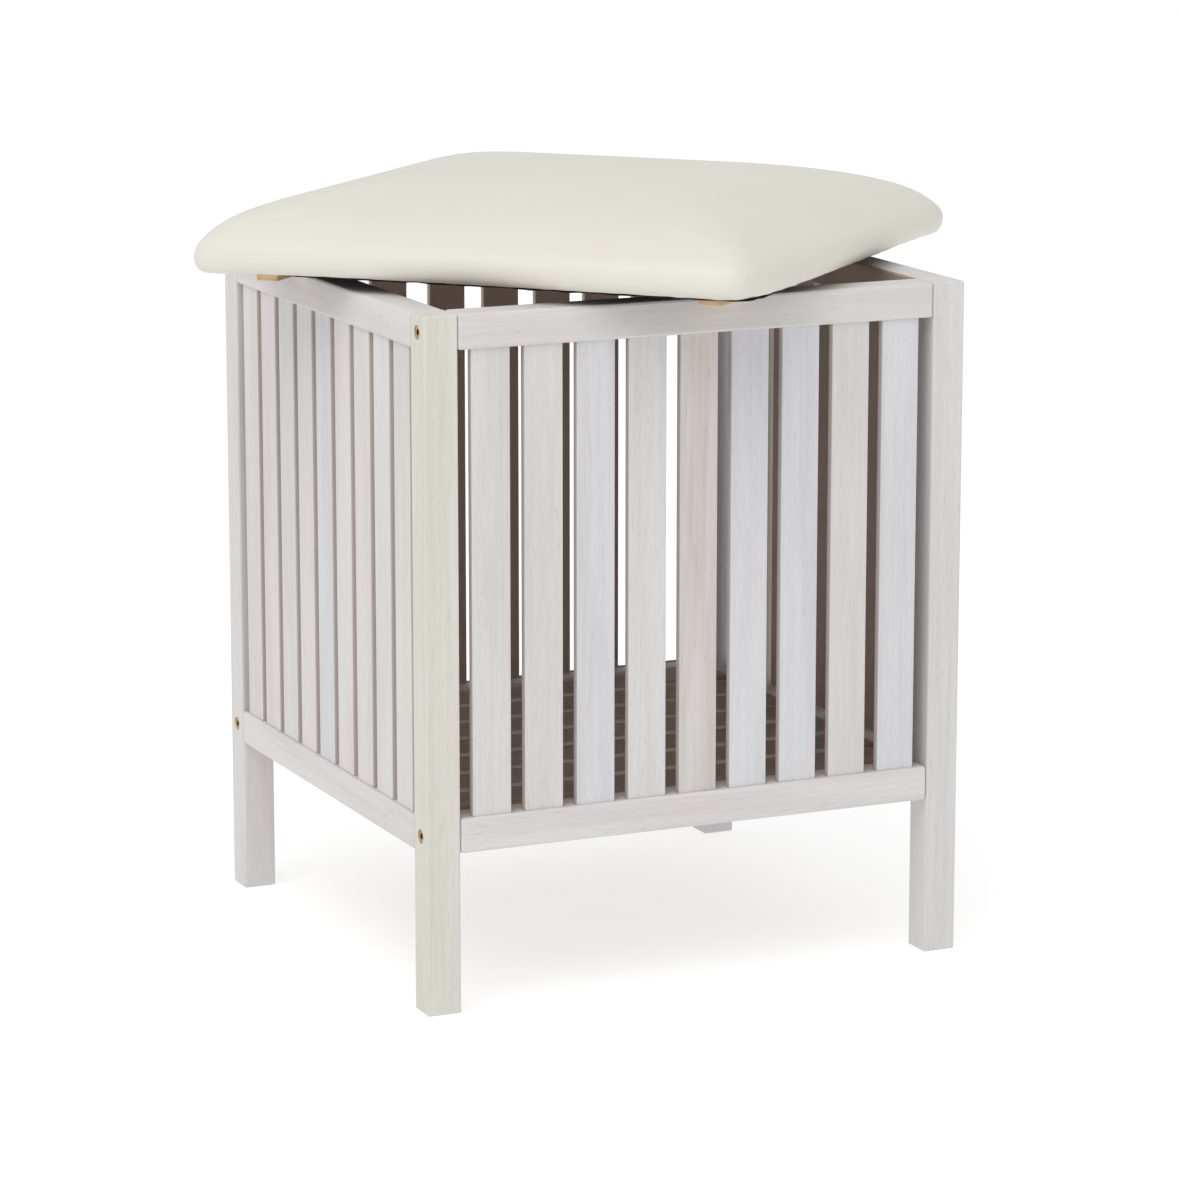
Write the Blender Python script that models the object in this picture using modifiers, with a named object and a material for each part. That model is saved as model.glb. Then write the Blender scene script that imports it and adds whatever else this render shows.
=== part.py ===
"""Slatted storage stool with a loose padded lid.

Units are metres and +Z is up. The front faces -Y, and the origin is on the floor
under the middle of the lid. The lid lies turned on the rim, a little to the left of
the box's middle, and stands on its two battens. Square with the box and in line with
it, it drops until the battens are inside the rim.
"""
import math

import bmesh
import bpy
from mathutils import Matrix, Vector

# Box: overall sizes and the stock that it is cut from
BOX_WIDTH = 0.400
BOX_DEPTH = 0.378
RIM_HEIGHT = 0.474
STOCK = 0.024             # thickness of the posts and of the rails
RAIL_HEIGHT = 0.024
LEG_CLEARANCE = 0.1105    # from the floor to the underside of the lower rails
POST_ROUND = 0.0014
RAIL_ROUND = 0.0018
FIT = 0.0003              # clearance between pieces that touch

# Upright slats
SLAT_WIDTH = 0.028
SLAT_THICKNESS = 0.006
SLAT_RECESS = 0.0024      # from the rail's outer face to the slat's
SLAT_TENON = 0.004        # how far a slat's end goes into its rail
SLAT_ROUND = 0.0008

# Bolts and barrel nuts
HEAD_DIAMETER = 0.009
HEAD_LENGTH = 0.006
HEAD_SUNK = 0.0006        # from the post's face to the bolt's head
HEAD_PLAY = 0.0004
SHANK_DIAMETER = 0.006
BOLT_LENGTH = 0.050
SOCKET_FLATS = 0.004
SOCKET_DEPTH = 0.0035
NUT_DIAMETER = 0.010
NUT_LENGTH = 0.014
NUT_INSET = 0.018         # from the end of the rail to the nut's axis
BORE_SPARE = 0.0012       # from the end of the bolt to the bottom of its hole

# Stub tenons of the side rails, in the posts
STUB_THICKNESS = 0.010
STUB_HEIGHT = 0.014
STUB_WEB = 0.0015         # wood between a stub tenon and a bolt's counterbore

# Floor of the box
FLOOR_SLATS = 7
FLOOR_SLAT_WIDTH = 0.036
FLOOR_SLAT_THICKNESS = 0.007
FLOOR_MARGIN = 0.0075     # from the front and back rails to the nearest floor slat
FLOOR_END_GAP = 0.001
BEARER_WIDTH = 0.012
BEARER_HEIGHT = 0.012

# Lid
LID_TURN = math.radians(-46.5)
LID_ASIDE = 0.006         # how far the middle of the lid lies left of the box's middle
LID_OVERHANG = 0.0125     # how far the cushion stands out past the box when it is square
BATTEN_WIDTH = 0.016
BATTEN_THICKNESS = 0.008
BATTEN_END_PLAY = 0.0015  # from the battens' ends to the rim, when the lid is closed
BATTEN_SIDE_PLAY = 0.0065  # from the battens' sides to the rim, when the lid is closed
BATTEN_ROUND = 0.0008
LINING_THICKNESS = 0.0006
LINING_INSET = 0.0145
COVER_THICKNESS = 0.001
COVER_HEM = 0.034         # how far the cover is folded in under the board
COVER_ROLL = 0.0105       # radius of the cover's lower edge
CUSHION_RISE = 0.0495     # from the top of that radius to the crown
BOARD_THICKNESS = 0.012
BOARD_INSET = LID_OVERHANG
FOAM_CLEARANCE = 0.0006
CORNER_SQUARENESS = 24.0  # exponent of the outline: higher is squarer
CROWN_SQUARENESS = 2.6    # exponent of the level lines near the crown
OUTLINE_POINTS = 64
DOME_RINGS = 12
RING_CROWDING = 1.6       # 1 spaces the rings evenly, and more crowds them at the edge
ROLL_RINGS = 4

ROUND_SEGMENTS = 24
BEVEL_SEGMENTS = 2
SHARP_ANGLE = math.radians(35)

# Heights and spans that follow from the sizes above
LOWER_RAIL_MIDDLE = LEG_CLEARANCE + RAIL_HEIGHT / 2
UPPER_RAIL_MIDDLE = RIM_HEIGHT - RAIL_HEIGHT / 2
LOWER_RAIL_TOP = LEG_CLEARANCE + RAIL_HEIGHT
UPPER_RAIL_BOTTOM = RIM_HEIGHT - RAIL_HEIGHT
RAIL_MIDDLES = {"lower": LOWER_RAIL_MIDDLE, "upper": UPPER_RAIL_MIDDLE}
SLAT_LENGTH = UPPER_RAIL_BOTTOM - LOWER_RAIL_TOP + 2 * SLAT_TENON
SLAT_MIDDLE = (UPPER_RAIL_BOTTOM + LOWER_RAIL_TOP) / 2
BORE_RADIUS = SHANK_DIAMETER / 2 + FIT
COUNTERBORE_RADIUS = HEAD_DIAMETER / 2 + HEAD_PLAY
STUB_LENGTH = STOCK / 2 - COUNTERBORE_RADIUS - STUB_WEB
LINING_BOTTOM = FIT + BATTEN_THICKNESS + FIT
COVER_BOTTOM = LINING_BOTTOM + LINING_THICKNESS + FIT
BOARD_BOTTOM = COVER_BOTTOM + COVER_THICKNESS + FIT
FOAM_BOTTOM = BOARD_BOTTOM + BOARD_THICKNESS + FIT

# Each side: the turn that brings the front to it, the distance from the middle of the
# box to its outer face, and the clear span between its posts
SIDES = {
    "front": (0.0, BOX_DEPTH / 2, BOX_WIDTH - 2 * STOCK),
    "right": (math.pi / 2, BOX_WIDTH / 2, BOX_DEPTH - 2 * STOCK),
    "back": (math.pi, BOX_DEPTH / 2, BOX_WIDTH - 2 * STOCK),
    "left": (-math.pi / 2, BOX_WIDTH / 2, BOX_DEPTH - 2 * STOCK),
}
# Each side's slats, from left to right as it is faced: how far each one stands from its
# place in an even row, in gaps. The back has one slat fewer, and they were set by eye.
SLAT_STEPS = {
    "front": (0.0,) * 9,
    "right": (0.0,) * 9,
    "back": (0.84, 0.68, 0.53, 0.51, 0.57, 0.84, 0.55, 0.27),
    "left": (0.0,) * 9,
}
BOLTED_SIDES = ("front", "back")
LOOSE_SIDES = ("front", "left")

# Finishes: colour, roughness, metallic
LIMED_WOOD = ((0.66, 0.64, 0.61), 0.62, 0.0)
PINE = ((0.60, 0.42, 0.22), 0.58, 0.0)
PLYWOOD = ((0.55, 0.40, 0.24), 0.65, 0.0)
BRASS = ((0.62, 0.42, 0.16), 0.30, 1.0)
STEEL = ((0.56, 0.57, 0.58), 0.35, 1.0)
CREAM_LEATHERETTE = ((0.78, 0.76, 0.68), 0.48, 0.0)
BLACK_NONWOVEN = ((0.015, 0.015, 0.016), 0.95, 0.0)
FOAM = ((0.72, 0.66, 0.42), 0.90, 0.0)


def clear_scene():
    """Remove every object that the scene starts with."""
    for item in list(bpy.data.objects):
        bpy.data.objects.remove(item, do_unlink=True)


def make_collection(name):
    """Add a collection to the scene."""
    collection = bpy.data.collections.new(name)
    bpy.context.scene.collection.children.link(collection)
    return collection


def make_finish(name, finish):
    """Make one piece's material from its colour, roughness and metallic value."""
    colour, roughness, metallic = finish
    material = bpy.data.materials.new(name + "_finish")
    material.use_nodes = True
    shader = material.node_tree.nodes["Principled BSDF"]
    shader.inputs["Base Color"].default_value = (*colour, 1.0)
    shader.inputs["Roughness"].default_value = roughness
    shader.inputs["Metallic"].default_value = metallic
    material.diffuse_color = (*colour, 1.0)
    return material


def mesh_from(name, bm):
    """Turn an edit mesh into a mesh, with its faces pointing out."""
    bmesh.ops.recalc_face_normals(bm, faces=bm.faces)
    mesh = bpy.data.meshes.new(name)
    bm.to_mesh(mesh)
    bm.free()
    return mesh


def add_box(bm, size, centre=(0.0, 0.0, 0.0)):
    """Add a box to an edit mesh."""
    matrix = Matrix.Translation(centre) @ Matrix.Diagonal((*size, 1.0))
    bmesh.ops.create_cube(bm, size=1.0, matrix=matrix)


def add_rod(bm, radius, length, centre, axis, segments=ROUND_SEGMENTS):
    """Add a cylinder, or a prism with few segments, whose middle is at centre."""
    turn = Vector((0.0, 0.0, 1.0)).rotation_difference(Vector(axis)).to_matrix().to_4x4()
    matrix = Matrix.Translation(centre) @ turn
    bmesh.ops.create_cone(bm, cap_ends=True, segments=segments, radius1=radius,
                          radius2=radius, depth=length, matrix=matrix)


def add_axis(name, collection, location, turn=0.0):
    """Add an empty that pieces ride on."""
    axis = bpy.data.objects.new(name, None)
    axis.location = location
    axis.rotation_euler.z = turn
    collection.objects.link(axis)
    return axis


def add_piece(name, mesh, finish, collection, axis, location=(0.0, 0.0, 0.0), turn=0.0):
    """Add a named piece with its own material, placed from the empty that it rides on."""
    piece = bpy.data.objects.new(name, mesh)
    mesh.materials.append(make_finish(name, finish))
    piece.parent = axis
    piece.location = location
    piece.rotation_euler.z = turn
    collection.objects.link(piece)
    return piece


def round_edges(piece, width):
    """Round the edges of a piece."""
    bevel = piece.modifiers.new("round", "BEVEL")
    bevel.width = width
    bevel.segments = BEVEL_SEGMENTS
    bevel.limit_method = "ANGLE"


def guide(name, mesh, collection, like):
    """Add a hidden object for a Boolean, placed as the piece that it works on."""
    item = bpy.data.objects.new(name, mesh)
    item.parent = like.parent
    item.location = like.location
    item.rotation_euler = like.rotation_euler
    item.hide_render = True
    item.display_type = "WIRE"
    collection.objects.link(item)
    return item


def combine(piece, item, operation):
    """Cut a hidden object out of a piece, or join it on."""
    boolean = piece.modifiers.new(operation.lower(), "BOOLEAN")
    boolean.operation = operation
    boolean.object = item
    boolean.solver = "EXACT"


def side_point(side, along, inward, height):
    """Return a place on a side of the box, seen by someone who faces that side."""
    turn, reach, _ = SIDES[side]
    flat = Matrix.Rotation(turn, 3, "Z") @ Vector((along, inward - reach, 0.0))
    return (flat.x, flat.y, height)


def slat_offsets(side):
    """Return the middles of a side's slats, measured from the middle of the side."""
    span = SIDES[side][2]
    steps = SLAT_STEPS[side]
    gap = (span - len(steps) * SLAT_WIDTH) / (len(steps) + 1)
    first = gap + (SLAT_WIDTH - span) / 2
    return [first + index * (SLAT_WIDTH + gap) + step * gap for index, step in enumerate(steps)]


def make_posts(parts, cutters, box_axis):
    """Make the four posts, bored for the bolts and mortised for the side rails."""
    for across, x_sign in (("left", -1), ("right", 1)):
        for depth, y_sign in (("front", -1), ("back", 1)):
            name = f"post_{depth}_{across}"
            bm = bmesh.new()
            add_box(bm, (STOCK, STOCK, RIM_HEIGHT))
            centre = (x_sign * (BOX_WIDTH - STOCK) / 2, y_sign * (BOX_DEPTH - STOCK) / 2,
                      RIM_HEIGHT / 2)
            post = add_piece(name, mesh_from(name, bm), LIMED_WOOD, parts, box_axis, centre)
            round_edges(post, POST_ROUND)
            bores = bmesh.new()
            counterbores = bmesh.new()
            for middle in RAIL_MIDDLES.values():
                height = middle - RIM_HEIGHT / 2
                add_rod(bores, BORE_RADIUS, 2 * STOCK, (0.0, 0.0, height), (1, 0, 0))
                pocket_depth = STUB_LENGTH + FIT
                pocket = (STUB_THICKNESS + 2 * FIT, 2 * pocket_depth, STUB_HEIGHT + 2 * FIT)
                add_box(bores, pocket, (0.0, -y_sign * STOCK / 2, height))
                seat = HEAD_SUNK + HEAD_LENGTH + FIT
                add_rod(counterbores, COUNTERBORE_RADIUS, 2 * seat,
                        (x_sign * STOCK / 2, 0.0, height), (1, 0, 0))
            for label, shapes in (("bores", bores), ("counterbores", counterbores)):
                mesh = mesh_from(f"{name}_{label}", shapes)
                combine(post, guide(mesh.name, mesh, cutters, post), "DIFFERENCE")


def rail_mesh(name, side):
    """Return a rail's plain box in its side's own frame: along, inward, up."""
    bm = bmesh.new()
    add_box(bm, (SIDES[side][2] - 2 * FIT, STOCK, RAIL_HEIGHT))
    return mesh_from(name, bm)


def add_stub_tenons(rail, side, cutters, heights=(0.0,)):
    """Join the stub tenons on the ends of a side rail."""
    bm = bmesh.new()
    reach = SIDES[side][2] / 2
    root = BORE_RADIUS
    for height in heights:
        for end in (-1, 1):
            centre = (end * (reach + (STUB_LENGTH - root) / 2), 0.0, height)
            add_box(bm, (STUB_LENGTH + root, STUB_THICKNESS, STUB_HEIGHT), centre)
    mesh = mesh_from(rail.name + "_stubs", bm)
    combine(rail, guide(mesh.name, mesh, cutters, rail), "UNION")


def bore_rail_ends(rail, side, cutters, heights=(0.0,)):
    """Bore a rail's ends for the bolts, and its inner face for the barrel nuts."""
    bores = bmesh.new()
    nut_holes = bmesh.new()
    reach = SIDES[side][2] / 2
    depth = HEAD_SUNK + BOLT_LENGTH - STOCK + BORE_SPARE
    nut_depth = STOCK / 2 + NUT_LENGTH / 2 + FIT
    for height in heights:
        for end in (-1, 1):
            add_rod(bores, BORE_RADIUS, 2 * depth, (end * reach, 0.0, height), (1, 0, 0))
            nut_place = (end * (reach - NUT_INSET), STOCK / 2, height)
            add_rod(nut_holes, NUT_DIAMETER / 2 + FIT, 2 * nut_depth, nut_place, (0, 1, 0))
    for label, shapes in (("bores", bores), ("nut_holes", nut_holes)):
        mesh = mesh_from(f"{rail.name}_{label}", shapes)
        combine(rail, guide(mesh.name, mesh, cutters, rail), "DIFFERENCE")


def cut_slat_mortises(rail, side, cutters, level):
    """Cut the mortises for the slats in a rail's edge."""
    bm = bmesh.new()
    edge = RAIL_HEIGHT / 2 if level == "lower" else -RAIL_HEIGHT / 2
    inward = SLAT_RECESS + SLAT_THICKNESS / 2 - STOCK / 2
    size = (SLAT_WIDTH + 2 * FIT, SLAT_THICKNESS + 2 * FIT, 2 * (SLAT_TENON + FIT))
    for offset in slat_offsets(side):
        add_box(bm, size, (offset, inward, edge))
    mesh = mesh_from(rail.name + "_mortises", bm)
    combine(rail, guide(mesh.name, mesh, cutters, rail), "DIFFERENCE")


def make_loose_side(side, parts, cutters, box_axis):
    """Make a side of separate pieces: two rails and the slats between them."""
    turn = SIDES[side][0]
    for level, middle in RAIL_MIDDLES.items():
        name = f"{side}_{level}_rail"
        place = side_point(side, 0.0, STOCK / 2, middle)
        rail = add_piece(name, rail_mesh(name, side), LIMED_WOOD, parts, box_axis, place, turn)
        round_edges(rail, RAIL_ROUND)
        cut_slat_mortises(rail, side, cutters, level)
        if side in BOLTED_SIDES:
            bore_rail_ends(rail, side, cutters)
        else:
            add_stub_tenons(rail, side, cutters)
    for number, offset in enumerate(slat_offsets(side), start=1):
        name = f"{side}_slat_{number}"
        bm = bmesh.new()
        add_box(bm, (SLAT_WIDTH, SLAT_THICKNESS, SLAT_LENGTH))
        place = side_point(side, offset, SLAT_RECESS + SLAT_THICKNESS / 2, SLAT_MIDDLE)
        slat = add_piece(name, mesh_from(name, bm), LIMED_WOOD, parts, box_axis, place, turn)
        round_edges(slat, SLAT_ROUND)


def make_glued_side(side, parts, cutters, box_axis):
    """Make a side as one glued-up panel: its two rails joined by its slats."""
    turn = SIDES[side][0]
    name = f"{side}_panel"
    place = side_point(side, 0.0, STOCK / 2, LOWER_RAIL_MIDDLE)
    panel = add_piece(name, rail_mesh(name, side), LIMED_WOOD, parts, box_axis, place, turn)
    round_edges(panel, RAIL_ROUND)
    slats = bmesh.new()
    inward = SLAT_RECESS + SLAT_THICKNESS / 2 - STOCK / 2
    rise = UPPER_RAIL_MIDDLE - LOWER_RAIL_MIDDLE
    for offset in slat_offsets(side):
        add_box(slats, (SLAT_WIDTH, SLAT_THICKNESS, SLAT_LENGTH), (offset, inward, rise / 2))
    slats_guide = guide(name + "_slats", mesh_from(name + "_slats", slats), cutters, panel)
    round_edges(slats_guide, SLAT_ROUND)
    combine(panel, slats_guide, "UNION")
    top = guide(name + "_top", rail_mesh(name + "_top", side), cutters, panel)
    top.location.z = UPPER_RAIL_MIDDLE
    round_edges(top, RAIL_ROUND)
    combine(panel, top, "UNION")
    if side in BOLTED_SIDES:
        bore_rail_ends(panel, side, cutters, (0.0, rise))
    else:
        add_stub_tenons(panel, side, cutters, (0.0, rise))


def bolt_mesh(name):
    """Return a socket-head bolt along +X, its head's face at the origin."""
    bm = bmesh.new()
    add_rod(bm, HEAD_DIAMETER / 2, HEAD_LENGTH, (HEAD_LENGTH / 2, 0.0, 0.0), (1, 0, 0))
    mesh = mesh_from(name, bm)
    mesh.shade_smooth()
    mesh.set_sharp_from_angle(angle=SHARP_ANGLE)
    return mesh


def make_fasteners(parts, cutters, box_axis):
    """Make the bolts and the barrel nuts of the front and back rails."""
    for side in BOLTED_SIDES:
        y = side_point(side, 0.0, STOCK / 2, 0.0)[1]
        for level, height in RAIL_MIDDLES.items():
            for across, x_sign in (("left", -1), ("right", 1)):
                ending = f"{side}_{level}_{across}"
                bolt_place = (x_sign * (BOX_WIDTH / 2 - HEAD_SUNK), y, height)
                turn = math.pi if x_sign > 0 else 0.0
                make_bolt("bolt_" + ending, bolt_place, turn, parts, cutters, box_axis)
                nut_place = (x_sign * (BOX_WIDTH / 2 - STOCK - NUT_INSET), y, height)
                make_nut("barrel_nut_" + ending, nut_place, parts, cutters, box_axis)


def make_bolt(name, place, turn, parts, cutters, box_axis):
    """Make one bolt: its head in a post's outer face, its shank in a rail."""
    bolt = add_piece(name, bolt_mesh(name), BRASS, parts, box_axis, place, turn)
    shank = bmesh.new()
    root = HEAD_LENGTH / 2
    shank_middle = (root + BOLT_LENGTH) / 2
    add_rod(shank, SHANK_DIAMETER / 2, BOLT_LENGTH - root, (shank_middle, 0.0, 0.0), (1, 0, 0))
    shank_mesh = mesh_from(name + "_shank", shank)
    combine(bolt, guide(shank_mesh.name, shank_mesh, cutters, bolt), "UNION")
    socket = bmesh.new()
    add_rod(socket, SOCKET_FLATS / math.sqrt(3), 2 * SOCKET_DEPTH, (0.0, 0.0, 0.0), (1, 0, 0), 6)
    socket_mesh = mesh_from(name + "_socket", socket)
    combine(bolt, guide(socket_mesh.name, socket_mesh, cutters, bolt), "DIFFERENCE")


def make_nut(name, place, parts, cutters, box_axis):
    """Make one barrel nut, lying across its rail with the bolt through it."""
    bm = bmesh.new()
    add_rod(bm, NUT_DIAMETER / 2, NUT_LENGTH, (0.0, 0.0, 0.0), (0, 1, 0))
    mesh = mesh_from(name, bm)
    mesh.shade_smooth()
    mesh.set_sharp_from_angle(angle=SHARP_ANGLE)
    nut = add_piece(name, mesh, STEEL, parts, box_axis, place)
    bore = bmesh.new()
    add_rod(bore, BORE_RADIUS, 2 * NUT_DIAMETER, (0.0, 0.0, 0.0), (1, 0, 0))
    bore_mesh = mesh_from(name + "_bore", bore)
    combine(nut, guide(bore_mesh.name, bore_mesh, cutters, nut), "DIFFERENCE")


def make_floor(parts, box_axis):
    """Make the slatted floor and the two bearers under its ends."""
    bearer_top = LOWER_RAIL_TOP - FLOOR_SLAT_THICKNESS - FIT
    for side, x_sign in (("left", -1), ("right", 1)):
        name = f"floor_bearer_{side}"
        bm = bmesh.new()
        add_box(bm, (BEARER_WIDTH, BOX_DEPTH - 2 * STOCK - 2 * FIT, BEARER_HEIGHT))
        x = x_sign * (BOX_WIDTH / 2 - STOCK - FIT - BEARER_WIDTH / 2)
        place = (x, 0.0, bearer_top - BEARER_HEIGHT / 2)
        bearer = add_piece(name, mesh_from(name, bm), LIMED_WOOD, parts, box_axis, place)
        round_edges(bearer, SLAT_ROUND)
    first = -BOX_DEPTH / 2 + STOCK + FLOOR_MARGIN + FLOOR_SLAT_WIDTH / 2
    pitch = -2 * first / (FLOOR_SLATS - 1)
    length = BOX_WIDTH - 2 * STOCK - 2 * FLOOR_END_GAP
    for index in range(FLOOR_SLATS):
        name = f"floor_slat_{index + 1}"
        bm = bmesh.new()
        add_box(bm, (length, FLOOR_SLAT_WIDTH, FLOOR_SLAT_THICKNESS))
        place = (0.0, first + index * pitch, LOWER_RAIL_TOP - FLOOR_SLAT_THICKNESS / 2)
        slat = add_piece(name, mesh_from(name, bm), LIMED_WOOD, parts, box_axis, place)
        round_edges(slat, SLAT_ROUND)


def outline(inset, squareness):
    """Return a rounded rectangle round the lid's middle, set in from its widest line."""
    half_width = BOX_WIDTH / 2 + LID_OVERHANG - inset
    half_depth = BOX_DEPTH / 2 + LID_OVERHANG - inset
    points = []
    for index in range(OUTLINE_POINTS):
        angle = math.tau * (index + 0.5) / OUTLINE_POINTS
        across = math.copysign(abs(math.cos(angle)) ** (2 / squareness), math.cos(angle))
        deep = math.copysign(abs(math.sin(angle)) ** (2 / squareness), math.sin(angle))
        points.append((half_width * across, half_depth * deep))
    return points


def dome_height(share):
    """Return the cushion's height above its roll, share of the way to the middle.

    Its section is half an ellipse.
    """
    return CUSHION_RISE * math.sqrt(1 - (1 - share) ** 2)


def dome_rings(clearance, lowest):
    """Return the rings of the cushion's top from its side inwards, as outline and height.

    clearance sets the surface in from the cover's outside, and lowest is where it starts.
    """
    half = BOX_DEPTH / 2 + LID_OVERHANG
    rings = []
    for index in range(DOME_RINGS):
        share = (index / DOME_RINGS) ** RING_CROWDING
        height = COVER_BOTTOM + COVER_ROLL + dome_height(share) - clearance
        squareness = CORNER_SQUARENESS + (CROWN_SQUARENESS - CORNER_SQUARENESS) * share
        if height > lowest:
            rings.append((outline(clearance + share * (half - clearance), squareness), height))
    return rings


def loft(bm, rings, close_start, crown=None):
    """Join rings of points into a skin, and close its first ring and its crown."""
    loops = []
    for points, height in rings:
        loops.append([bm.verts.new((x, y, height)) for x, y in points])
    for lower, upper in zip(loops, loops[1:]):
        for index in range(OUTLINE_POINTS):
            following = (index + 1) % OUTLINE_POINTS
            bm.faces.new((lower[index], lower[following], upper[following], upper[index]))
    if close_start:
        bm.faces.new(list(reversed(loops[0])))
    if crown is None:
        bm.faces.new(loops[-1])
        return
    top = bm.verts.new((0.0, 0.0, crown))
    for index in range(OUTLINE_POINTS):
        bm.faces.new((loops[-1][index], loops[-1][(index + 1) % OUTLINE_POINTS], top))


def make_cover(parts, lid_axis):
    """Make the cover: a thin shell, open below inside its hem."""
    bm = bmesh.new()
    rings = [(outline(COVER_HEM, CORNER_SQUARENESS), COVER_BOTTOM)]
    for step in range(ROLL_RINGS):
        angle = math.pi / 2 * step / ROLL_RINGS
        inset = COVER_ROLL * (1 - math.sin(angle))
        height = COVER_BOTTOM + COVER_ROLL * (1 - math.cos(angle))
        rings.append((outline(inset, CORNER_SQUARENESS), height))
    rings += dome_rings(0.0, COVER_BOTTOM)
    loft(bm, rings, False, COVER_BOTTOM + COVER_ROLL + CUSHION_RISE)
    mesh = mesh_from("lid_cover", bm)
    mesh.shade_smooth()
    cover = add_piece("lid_cover", mesh, CREAM_LEATHERETTE, parts, lid_axis)
    shell = cover.modifiers.new("thickness", "SOLIDIFY")
    shell.thickness = COVER_THICKNESS
    shell.offset = -1.0


def make_foam(parts, lid_axis):
    """Make the foam pad, flat below and domed like the cover."""
    bm = bmesh.new()
    clearance = COVER_THICKNESS + FOAM_CLEARANCE
    rings = dome_rings(clearance, FOAM_BOTTOM)
    rings.insert(0, (rings[0][0], FOAM_BOTTOM))
    loft(bm, rings, True, COVER_BOTTOM + COVER_ROLL + CUSHION_RISE - clearance)
    mesh = mesh_from("lid_foam", bm)
    mesh.shade_smooth()
    mesh.set_sharp_from_angle(angle=SHARP_ANGLE)
    add_piece("lid_foam", mesh, FOAM, parts, lid_axis)


def make_sheet(name, inset, bottom, thickness, finish, parts, lid_axis):
    """Make a flat piece of the lid with the lid's outline."""
    bm = bmesh.new()
    points = outline(inset, CORNER_SQUARENESS)
    loft(bm, [(points, bottom), (points, bottom + thickness)], True)
    add_piece(name, mesh_from(name, bm), finish, parts, lid_axis)


def make_battens(parts, lid_axis):
    """Make the two battens that drop inside the rim when the lid is square."""
    length = BOX_DEPTH - 2 * STOCK - 2 * BATTEN_END_PLAY
    for side, x_sign in (("left", -1), ("right", 1)):
        name = f"lid_batten_{side}"
        bm = bmesh.new()
        x = x_sign * (BOX_WIDTH / 2 - STOCK - BATTEN_SIDE_PLAY - BATTEN_WIDTH / 2)
        centre = (x, 0.0, FIT + BATTEN_THICKNESS / 2)
        add_box(bm, (BATTEN_WIDTH, length, BATTEN_THICKNESS), centre)
        batten = add_piece(name, mesh_from(name, bm), PINE, parts, lid_axis)
        round_edges(batten, BATTEN_ROUND)


def make_lid(parts):
    """Make the lid, turned on the rim."""
    lid_axis = add_axis("lid_axis", parts, (0.0, 0.0, RIM_HEIGHT), LID_TURN)
    make_battens(parts, lid_axis)
    make_sheet("lid_lining", LINING_INSET, LINING_BOTTOM, LINING_THICKNESS, BLACK_NONWOVEN,
               parts, lid_axis)
    make_cover(parts, lid_axis)
    make_sheet("lid_board", BOARD_INSET, BOARD_BOTTOM, BOARD_THICKNESS, PLYWOOD, parts,
               lid_axis)
    make_foam(parts, lid_axis)


def main():
    """Build the stool."""
    clear_scene()
    parts = make_collection("storage_stool")
    cutters = make_collection("cutters")
    box_axis = add_axis("box_axis", parts, (LID_ASIDE, 0.0, 0.0))
    make_posts(parts, cutters, box_axis)
    for side in SIDES:
        if side in LOOSE_SIDES:
            make_loose_side(side, parts, cutters, box_axis)
        else:
            make_glued_side(side, parts, cutters, box_axis)
    make_fasteners(parts, cutters, box_axis)
    make_floor(parts, box_axis)
    make_lid(parts)


main()
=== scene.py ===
"""Looks of a slatted storage stool with a loose padded lid.

The box is limed hardwood, bolted at its front and back rails. The lid is a plywood
board with a foam pad under a leather-look cover, a black lining below and two pine
battens. Lengths are in metres, and every place comes from the frame.
"""
import logging
import math
from collections.abc import Iterable, Sequence
from dataclasses import dataclass, field
from enum import Enum

import bmesh
import bpy
import numpy as np
from mathutils import Matrix, Vector, noise


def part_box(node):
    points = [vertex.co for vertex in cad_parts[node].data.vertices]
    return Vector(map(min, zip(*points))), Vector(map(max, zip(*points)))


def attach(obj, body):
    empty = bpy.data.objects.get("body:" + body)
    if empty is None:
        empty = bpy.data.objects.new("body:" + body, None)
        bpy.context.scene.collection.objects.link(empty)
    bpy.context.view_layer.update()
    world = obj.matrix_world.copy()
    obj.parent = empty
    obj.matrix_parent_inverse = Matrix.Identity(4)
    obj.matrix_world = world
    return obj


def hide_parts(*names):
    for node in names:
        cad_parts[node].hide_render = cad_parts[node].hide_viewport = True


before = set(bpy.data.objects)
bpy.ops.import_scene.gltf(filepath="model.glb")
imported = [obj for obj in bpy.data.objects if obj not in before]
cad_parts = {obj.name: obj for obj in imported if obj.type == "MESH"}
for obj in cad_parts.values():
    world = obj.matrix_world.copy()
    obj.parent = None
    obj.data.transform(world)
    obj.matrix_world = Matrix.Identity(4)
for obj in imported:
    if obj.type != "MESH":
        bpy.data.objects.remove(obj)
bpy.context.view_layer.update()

MM = 0.001
log = logging.getLogger("storage_stool")

Colour = tuple[float, float, float, float]
Ring = tuple[list[tuple[float, float]], float]


def to_linear(hex_colour: str) -> Colour:
    """Turn an sRGB hex colour into a linear one.

    Args:
        hex_colour: Six hex digits, with or without a leading hash.

    Returns:
        Linear red, green, blue and an alpha of 1.
    """
    digits = hex_colour.lstrip("#")
    channels = [int(digits[i:i + 2], 16) / 255 for i in (0, 2, 4)]
    linear = [c / 12.92 if c <= 0.04045 else ((c + 0.055) / 1.055) ** 2.4 for c in channels]
    return (linear[0], linear[1], linear[2], 1.0)


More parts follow.
